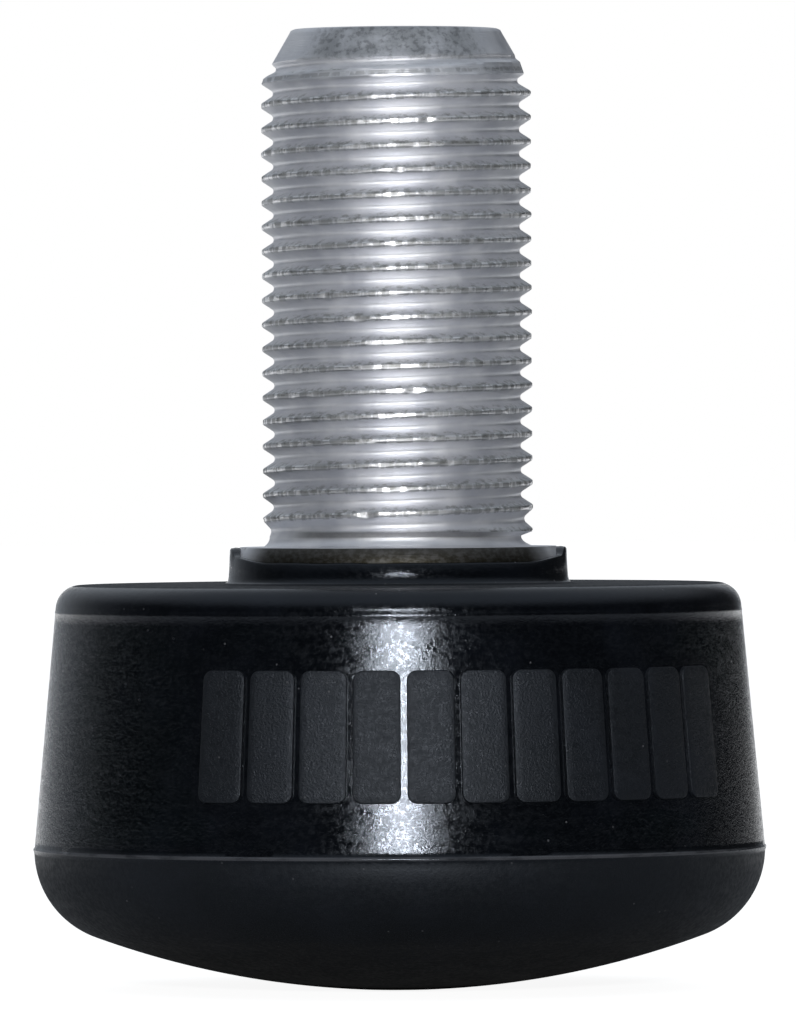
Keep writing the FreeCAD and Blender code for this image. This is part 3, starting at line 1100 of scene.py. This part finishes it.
def build_floor():
    half = FLOOR_SIZE / 2
    mesh = bpy.data.meshes.new("floor")
    corners = [(-half, -half, 0), (half, -half, 0), (half, half, 0), (-half, half, 0)]
    mesh.from_pydata(corners, [], [(0, 1, 2, 3)])
    mesh.materials.append(floor_material())
    floor = bpy.data.objects.new("floor", mesh)
    bpy.context.scene.collection.objects.link(floor)


build_floor()
print(f"floor {FLOOR_SIZE} m wide, glow {FLOOR_GLOW}")

# %% [markdown]
# ## The surroundings
#
# Black rubber and bare metal show what stands around them, so the surroundings matter as much
# as the lamp. A colour ramp round the horizon gives the room its brightness by compass
# direction: dark in front and on the right, and pale behind, with a long fade on the left. A
# soft light overhead is added. Camera rays always see white, and rays mirrored straight back,
# to where the camera sees the backdrop, see that same white. All of it depends on direction
# alone, so it stays put when the camera moves.

# %% World
DAYLIGHT = (0.84, 0.91, 1.0, 1)
HORIZON = (  # degrees from straight behind, left is negative, and level
    (-180, 0.02), (-100, 0.04), (-83, 0.04), (-67, 0.09), (-55, 0.18), (-38, 0.30),
    (-10, 0.42), (10, 0.38), (20, 0.03), (180, 0.02),
)
STEEP_FADE = (0.9, 0.5)
OVERHEAD = 0.53
OVERHEAD_FADE = (0.25, 0.85)
BACKDROP_FADE = (0.985, 0.996)  # cosines of about 10 and 5 degrees from straight behind


def horizon_level(tree, direction):
    """Brightness of the room round the horizon, which fades out steeply overhead."""
    parts = add_node(tree, "ShaderNodeSeparateXYZ", Vector=direction)
    turn = calculate(tree, "ARCTAN2", parts.outputs["X"], parts.outputs["Y"])
    place = add_node(tree, "ShaderNodeMapRange", Value=turn, From_Min=-math.pi, From_Max=math.pi)
    ramp = add_node(tree, "ShaderNodeValToRGB", Fac=place.outputs["Result"])
    stops = ramp.color_ramp.elements
    while len(stops) < len(HORIZON):
        stops.new(0.5)
    for stop, (degrees, level) in zip(stops, HORIZON):
        stop.position = (degrees + 180) / 360
        stop.color = (level, level, level, 1)
    low = fade(tree, calculate(tree, "ABSOLUTE", parts.outputs["Z"]), *STEEP_FADE)
    return calculate(tree, "MULTIPLY", ramp.outputs["Color"], low)


def build_world():
    world = bpy.data.worlds.new("studio")
    bpy.context.scene.world = world
    world.use_nodes = True
    tree = world.node_tree
    tree.nodes.clear()
    direction = add_node(tree, "ShaderNodeTexCoord").outputs["Generated"]
    overhead = towards(tree, direction, (0.0, 0.0, 1.0), *OVERHEAD_FADE, OVERHEAD)
    level = calculate(tree, "ADD", horizon_level(tree, direction), overhead)
    room = add_node(tree, "ShaderNodeBackground", Color=DAYLIGHT, Strength=level)
    white = add_node(tree, "ShaderNodeBackground", Color=(1, 1, 1, 1))
    rays = add_node(tree, "ShaderNodeLightPath")
    backdrop = towards(tree, direction, (0.0, 1.0, 0.0), *BACKDROP_FADE)
    seen = add_node(tree, "ShaderNodeMath", {"operation": "MULTIPLY_ADD", "use_clamp": True},
                    _0=mirror_rays(tree, rays), _1=backdrop, _2=rays.outputs["Is Camera Ray"])
    chosen = add_node(tree, "ShaderNodeMixShader", Fac=seen.outputs["Value"],
                      _1=room.outputs["Background"], _2=white.outputs["Background"])
    add_node(tree, "ShaderNodeOutputWorld", Surface=chosen.outputs["Shader"])


build_world()
print("white backdrop, dark room in front")

# %% [markdown]
# ## The key lamp
#
# One small soft key light stands just above the camera: it draws the bright upright band down
# the middle. The surroundings do the rest. Its watts were set so that the band on the
# upper wall is about as bright as in the photograph.

# %% Key lamp
PUCK_MIDDLE = Vector((0, 0, 0.024))
KEY_PLACE = Vector((0.004, -0.80, 0.148))
KEY_SIZE = 0.05
KEY_WATTS = 3.2


def build_key_lamp():
    lamp = bpy.data.lights.new("key", "AREA")
    lamp.shape = "RECTANGLE"
    lamp.size = KEY_SIZE
    lamp.size_y = KEY_SIZE
    lamp.energy = KEY_WATTS
    holder = bpy.data.objects.new("key", lamp)
    holder.location = KEY_PLACE
    holder.rotation_euler = (PUCK_MIDDLE - KEY_PLACE).to_track_quat("-Z", "Y").to_euler()
    holder.visible_camera = False
    bpy.context.scene.collection.objects.link(holder)


build_key_lamp()
print(f"one key lamp of {KEY_WATTS} W")

# %% [markdown]
# ## The camera
#
# The photograph fits a camera about 73 centimetres away with a long lens, a little above the
# top of the puck. The long lens keeps the stem's sides parallel. The camera leans by a third
# of a degree, because the photograph does.

# %% Camera
CAMERA_DISTANCE = 0.728
CAMERA_HEIGHT = 0.03196
AIM_HEIGHT = 0.02767
LENS_MM = 442.0
SENSOR_MM = 36
CLIP_RANGE = (0.01, 50)
CAMERA_ROLL = math.radians(0.3)


def build_camera():
    data = bpy.data.cameras.new("camera")
    data.lens = LENS_MM
    data.sensor_width = SENSOR_MM
    data.clip_start, data.clip_end = CLIP_RANGE
    camera = bpy.data.objects.new("camera", data)
    camera.location = (0, -CAMERA_DISTANCE, CAMERA_HEIGHT)
    aim = Vector((0, 0, AIM_HEIGHT)) - camera.location
    camera.rotation_euler = aim.to_track_quat("-Z", "Y").to_euler()
    camera.rotation_euler.rotate_axis("Z", -CAMERA_ROLL)
    bpy.context.scene.collection.objects.link(camera)
    bpy.context.scene.camera = camera


build_camera()
bpy.context.scene.view_settings.view_transform = "Standard"
print(f"lens {LENS_MM} mm at {CAMERA_DISTANCE} m")
